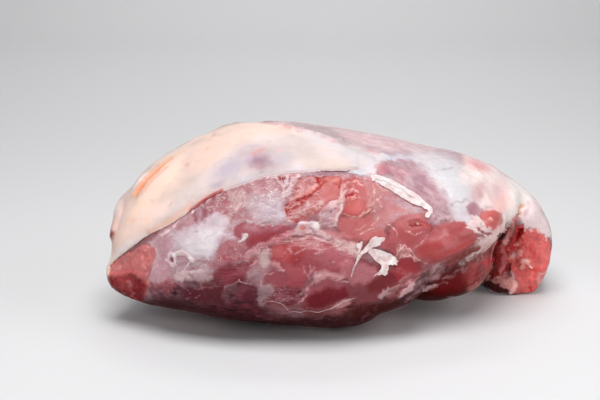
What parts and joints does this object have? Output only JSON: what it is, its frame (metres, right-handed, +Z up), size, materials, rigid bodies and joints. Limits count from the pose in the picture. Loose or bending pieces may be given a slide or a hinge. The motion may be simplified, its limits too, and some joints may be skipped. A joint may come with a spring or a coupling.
{
  "type": "beef rump",
  "caption": "Whole boneless raw beef rump lying fat side up, with seamed muscles on its front and a thin tail folded down at one end.",
  "frame": {"origin": "on the surface the meat lies on, under the middle of its bounding box", "axes": "+X along the meat's length towards its folded tail, -Y towards the seamed front, +Z up"},
  "size_m": [0.3608, 0.1968, 0.1505],
  "materials": {
    "raw_beef": "wet raw muscle under creamy fat and white connective tissue, semi-gloss"
  },
  "bodies": {
    "root": {"beef_rump": "raw_beef"}
  },
  "joints": []
}
